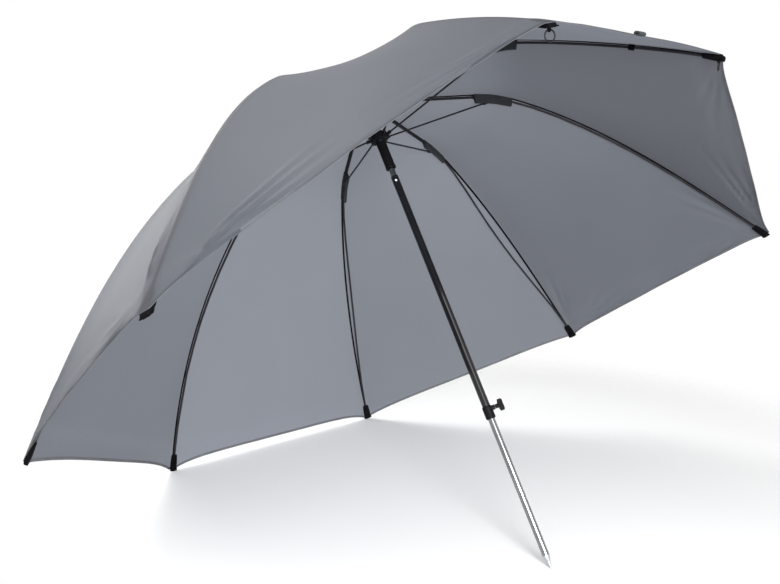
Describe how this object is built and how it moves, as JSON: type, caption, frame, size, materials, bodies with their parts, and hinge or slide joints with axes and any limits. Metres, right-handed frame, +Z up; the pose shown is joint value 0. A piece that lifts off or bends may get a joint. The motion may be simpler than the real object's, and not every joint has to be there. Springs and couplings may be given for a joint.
{
  "type": "fishing umbrella",
  "caption": "Large angling umbrella with kneed folding ribs, a raised front opening, a telescopic clamped pole and a ground spike.",
  "frame": {"origin": "point of the ground spike, on the ground", "axes": "+Z up with the umbrella leaning back on its spike and its two rear rib tips, -Y towards the raised front opening, YZ the plane of symmetry"},
  "size_m": [2.4378, 1.5894, 1.5352],
  "materials": {
    "canopy_fabric": "coated woven polyester, grey",
    "black_plastic": "moulded nylon, satin black",
    "black_pole": "gloss black aluminium tube",
    "bright_tube": "polished aluminium tube",
    "spring_steel": "spring steel strip",
    "spike_metal": "turned, satin",
    "white_plastic": "white button",
    "painted_rib": "black painted steel",
    "rod_glassfibre": "dark grey glass fibre rod",
    "pocket_trim": "black reinforced corner pocket",
    "ring_wire": "black steel wire"
  },
  "bodies": {
    "frame": {"canopy": "canopy_fabric", "crown_cap": "black_plastic", "crown_hub": "black_plastic", "neck_tube": "bright_tube", "button_spring": "spring_steel", "upper_pole": "black_pole", "clamp_collar": "black_plastic"},
    "runner": {"runner": "black_plastic"},
    "lower_pole": {"lower_pole": "bright_tube", "ground_spike": "spike_metal"},
    "clamp_knob": {"clamp_knob": "black_plastic"},
    "snap_button": {"snap_button": "white_plastic"},
    "rib_rear_right": {"rib_rear_right": "painted_rib"},
    "rod_rear_right": {"knee_rear_right": "black_plastic", "rod_rear_right": "rod_glassfibre", "pocket_rear_right": "pocket_trim"},
    "stretcher_rear_right": {"stretcher_rear_right": "painted_rib"},
    "rib_side_right": {"rib_side_right": "painted_rib"},
    "rod_side_right": {"knee_side_right": "black_plastic", "rod_side_right": "rod_glassfibre", "pocket_side_right": "pocket_trim"},
    "stretcher_side_right": {"stretcher_side_right": "painted_rib"},
    "rib_fore_right": {"rib_fore_right": "painted_rib"},
    "rod_fore_right": {"knee_fore_right": "black_plastic", "rod_fore_right": "rod_glassfibre", "pocket_fore_right": "pocket_trim"},
    "stretcher_fore_right": {"stretcher_fore_right": "painted_rib"},
    "rib_front_right": {"rib_front_right": "painted_rib"},
    "rod_front_right": {"knee_front_right": "black_plastic", "rod_front_right": "rod_glassfibre", "pocket_front_right": "pocket_trim"},
    "stretcher_front_right": {"stretcher_front_right": "painted_rib"},
    "ring_front_right": {"ring_front_right": "ring_wire"},
    "rib_front_left": {"rib_front_left": "painted_rib"},
    "rod_front_left": {"knee_front_left": "black_plastic", "rod_front_left": "rod_glassfibre", "pocket_front_left": "pocket_trim"},
    "stretcher_front_left": {"stretcher_front_left": "painted_rib"},
    "ring_front_left": {"ring_front_left": "ring_wire"},
    "rib_fore_left": {"rib_fore_left": "painted_rib"},
    "rod_fore_left": {"knee_fore_left": "black_plastic", "rod_fore_left": "rod_glassfibre", "pocket_fore_left": "pocket_trim"},
    "stretcher_fore_left": {"stretcher_fore_left": "painted_rib"},
    "rib_side_left": {"rib_side_left": "painted_rib"},
    "rod_side_left": {"knee_side_left": "black_plastic", "rod_side_left": "rod_glassfibre", "pocket_side_left": "pocket_trim"},
    "stretcher_side_left": {"stretcher_side_left": "painted_rib"},
    "rib_rear_left": {"rib_rear_left": "painted_rib"},
    "rod_rear_left": {"knee_rear_left": "black_plastic", "rod_rear_left": "rod_glassfibre", "pocket_rear_left": "pocket_trim"},
    "stretcher_rear_left": {"stretcher_rear_left": "painted_rib"}
  },
  "joints": [
    {"name": "runner_slide", "type": "slide", "parent": "frame", "child": "runner", "axis": [0, -0.5339, -0.8455], "range_m": [0, 0.7132], "deforming": ["canopy"]},
    {"name": "rib_rear_right_hinge", "type": "hinge", "parent": "frame", "child": "rib_rear_right", "pos_m": [0.0123, 0.86141, 1.3097], "axis": [-0.9232, 0.3249, -0.2052], "range_deg": [0, 80.58]},
    {"name": "knee_rear_right_hinge", "type": "hinge", "parent": "rib_rear_right", "child": "rod_rear_right", "pos_m": [0.15646, 1.12638, 1.08068], "axis": [-0.9232, 0.3249, -0.2052], "range_deg": [-35.71, 0]},
    {"name": "stretcher_rear_right_hinge", "type": "hinge", "parent": "runner", "child": "stretcher_rear_right", "pos_m": [0.00064, 0.7879, 1.20043], "axis": [-0.9232, 0.3249, -0.2052], "range_deg": [-78.37, 0]},
    {"name": "rib_side_right_hinge", "type": "hinge", "parent": "frame", "child": "rib_side_right", "pos_m": [0.02987, 0.84612, 1.31935], "axis": [-0.3584, 0.7894, -0.4984], "range_deg": [0, 80.58]},
    {"name": "knee_side_right_hinge", "type": "hinge", "parent": "rib_side_right", "child": "rod_side_right", "pos_m": [0.38009, 0.93194, 1.20346], "axis": [-0.3584, 0.7894, -0.4984], "range_deg": [-34.68, 0]},
    {"name": "stretcher_side_right_hinge", "type": "hinge", "parent": "runner", "child": "stretcher_side_right", "pos_m": [0.01907, 0.78076, 1.20494], "axis": [-0.3584, 0.7894, -0.4984], "range_deg": [-78.48, 0]},
    {"name": "rib_fore_right_hinge", "type": "hinge", "parent": "frame", "child": "rib_fore_right", "pos_m": [0.02969, 0.82633, 1.33185], "axis": [0.373, 0.7845, -0.4954], "range_deg": [0, 80.58]},
    {"name": "knee_fore_right_hinge", "type": "hinge", "parent": "rib_fore_right", "child": "rod_fore_right", "pos_m": [0.37775, 0.68017, 1.36243], "axis": [0.373, 0.7845, -0.4954], "range_deg": [-32.44, 0]},
    {"name": "stretcher_fore_right_hinge", "type": "hinge", "parent": "runner", "child": "stretcher_fore_right", "pos_m": [0.02574, 0.76587, 1.21434], "axis": [0.373, 0.7845, -0.4954], "range_deg": [-78.7, 0]},
    {"name": "rib_front_right_hinge", "type": "hinge", "parent": "frame", "child": "rib_front_right", "pos_m": [0.01219, 0.81141, 1.34127], "axis": [0.9245, 0.3222, -0.2035], "range_deg": [0, 80.58]},
    {"name": "knee_front_right_hinge", "type": "hinge", "parent": "rib_front_right", "child": "rod_front_right", "pos_m": [0.15515, 0.49029, 1.48232], "axis": [0.9245, 0.3222, -0.2035], "range_deg": [-27.05, 0]},
    {"name": "stretcher_front_right_hinge", "type": "hinge", "parent": "runner", "child": "stretcher_front_right", "pos_m": [0.01774, 0.75038, 1.22412], "axis": [0.9245, 0.3222, -0.2035], "range_deg": [-79.25, 0]},
    {"name": "ring_front_right_swing", "type": "hinge", "parent": "rod_front_right", "child": "ring_front_right", "pos_m": [0.37878, -0.18906, 1.42266], "axis": [0.9245, 0.3222, -0.2035], "range_deg": [-60, 60]},
    {"name": "rib_front_left_hinge", "type": "hinge", "parent": "frame", "child": "rib_front_left", "pos_m": [-0.01219, 0.81141, 1.34127], "axis": [0.9245, -0.3222, 0.2035], "range_deg": [0, 80.58]},
    {"name": "knee_front_left_hinge", "type": "hinge", "parent": "rib_front_left", "child": "rod_front_left", "pos_m": [-0.15515, 0.49029, 1.48232], "axis": [0.9245, -0.3222, 0.2035], "range_deg": [-27.05, 0]},
    {"name": "stretcher_front_left_hinge", "type": "hinge", "parent": "runner", "child": "stretcher_front_left", "pos_m": [-0.00055, 0.74438, 1.2279], "axis": [0.9245, -0.3222, 0.2035], "range_deg": [-79.25, 0]},
    {"name": "ring_front_left_swing", "type": "hinge", "parent": "rod_front_left", "child": "ring_front_left", "pos_m": [-0.37878, -0.18906, 1.42266], "axis": [0.9245, -0.3222, 0.2035], "range_deg": [-60, 60]},
    {"name": "rib_fore_left_hinge", "type": "hinge", "parent": "frame", "child": "rib_fore_left", "pos_m": [-0.02969, 0.82633, 1.33185], "axis": [0.373, -0.7845, 0.4954], "range_deg": [0, 80.58]},
    {"name": "knee_fore_left_hinge", "type": "hinge", "parent": "rib_fore_left", "child": "rod_fore_left", "pos_m": [-0.37775, 0.68017, 1.36243], "axis": [0.373, -0.7845, 0.4954], "range_deg": [-32.44, 0]},
    {"name": "stretcher_fore_left_hinge", "type": "hinge", "parent": "runner", "child": "stretcher_fore_left", "pos_m": [-0.0188, 0.75128, 1.22355], "axis": [0.373, -0.7845, 0.4954], "range_deg": [-78.7, 0]},
    {"name": "rib_side_left_hinge", "type": "hinge", "parent": "frame", "child": "rib_side_left", "pos_m": [-0.02987, 0.84612, 1.31935], "axis": [-0.3584, -0.7894, 0.4984], "range_deg": [0, 80.58]},
    {"name": "knee_side_left_hinge", "type": "hinge", "parent": "rib_side_left", "child": "rod_side_left", "pos_m": [-0.38009, 0.93194, 1.20346], "axis": [-0.3584, -0.7894, 0.4984], "range_deg": [-34.68, 0]},
    {"name": "stretcher_side_left_hinge", "type": "hinge", "parent": "runner", "child": "stretcher_side_left", "pos_m": [-0.02574, 0.76607, 1.21421], "axis": [-0.3584, -0.7894, 0.4984], "range_deg": [-78.48, 0]},
    {"name": "rib_rear_left_hinge", "type": "hinge", "parent": "frame", "child": "rib_rear_left", "pos_m": [-0.0123, 0.86141, 1.3097], "axis": [-0.9232, -0.3249, 0.2052], "range_deg": [0, 80.58]},
    {"name": "knee_rear_left_hinge", "type": "hinge", "parent": "rib_rear_left", "child": "rod_rear_left", "pos_m": [-0.15646, 1.12638, 1.08068], "axis": [-0.9232, -0.3249, 0.2052], "range_deg": [-35.71, 0]},
    {"name": "stretcher_rear_left_hinge", "type": "hinge", "parent": "runner", "child": "stretcher_rear_left", "pos_m": [-0.01781, 0.78186, 1.20424], "axis": [-0.9232, -0.3249, 0.2052], "range_deg": [-78.37, 0]},
    {"name": "pole_slide", "type": "slide", "parent": "frame", "child": "lower_pole", "axis": [0, 0.5339, 0.8455], "range_m": [-0.2, 0.37]},
    {"name": "clamp_knob_turn", "type": "hinge", "parent": "frame", "child": "clamp_knob", "pos_m": [0.01732, 0.24376, 0.4193], "axis": [0.7071, -0.5979, 0.3775], "continuous": true},
    {"name": "snap_button_press", "type": "slide", "parent": "frame", "child": "snap_button", "axis": [0.7071, 0.5979, -0.3775], "range_m": [0, 0.0022], "stiffness_N_per_m": 900, "deforming": ["button_spring"]}
  ],
  "couplings": [
    {"joint": "rib_rear_right_hinge", "follows": "runner_slide", "rad_per_m": 1.9597},
    {"joint": "knee_rear_right_hinge", "follows": "runner_slide", "rad_per_m": -0.86168},
    {"joint": "stretcher_rear_right_hinge", "follows": "runner_slide", "rad_per_m": -1.9057},
    {"joint": "rib_side_right_hinge", "follows": "runner_slide", "rad_per_m": 1.9597},
    {"joint": "knee_side_right_hinge", "follows": "runner_slide", "rad_per_m": -0.83647},
    {"joint": "stretcher_side_right_hinge", "follows": "runner_slide", "rad_per_m": -1.9082},
    {"joint": "rib_fore_right_hinge", "follows": "runner_slide", "rad_per_m": 1.9597},
    {"joint": "knee_fore_right_hinge", "follows": "runner_slide", "rad_per_m": -0.78165},
    {"joint": "stretcher_fore_right_hinge", "follows": "runner_slide", "rad_per_m": -1.9138},
    {"joint": "rib_front_right_hinge", "follows": "runner_slide", "rad_per_m": 1.9597},
    {"joint": "knee_front_right_hinge", "follows": "runner_slide", "rad_per_m": -0.64975},
    {"joint": "stretcher_front_right_hinge", "follows": "runner_slide", "rad_per_m": -1.9272},
    {"joint": "rib_front_left_hinge", "follows": "runner_slide", "rad_per_m": 1.9597},
    {"joint": "knee_front_left_hinge", "follows": "runner_slide", "rad_per_m": -0.64975},
    {"joint": "stretcher_front_left_hinge", "follows": "runner_slide", "rad_per_m": -1.9272},
    {"joint": "rib_fore_left_hinge", "follows": "runner_slide", "rad_per_m": 1.9597},
    {"joint": "knee_fore_left_hinge", "follows": "runner_slide", "rad_per_m": -0.78165},
    {"joint": "stretcher_fore_left_hinge", "follows": "runner_slide", "rad_per_m": -1.9138},
    {"joint": "rib_side_left_hinge", "follows": "runner_slide", "rad_per_m": 1.9597},
    {"joint": "knee_side_left_hinge", "follows": "runner_slide", "rad_per_m": -0.83647},
    {"joint": "stretcher_side_left_hinge", "follows": "runner_slide", "rad_per_m": -1.9082},
    {"joint": "rib_rear_left_hinge", "follows": "runner_slide", "rad_per_m": 1.9597},
    {"joint": "knee_rear_left_hinge", "follows": "runner_slide", "rad_per_m": -0.86168},
    {"joint": "stretcher_rear_left_hinge", "follows": "runner_slide", "rad_per_m": -1.9057}
  ]
}
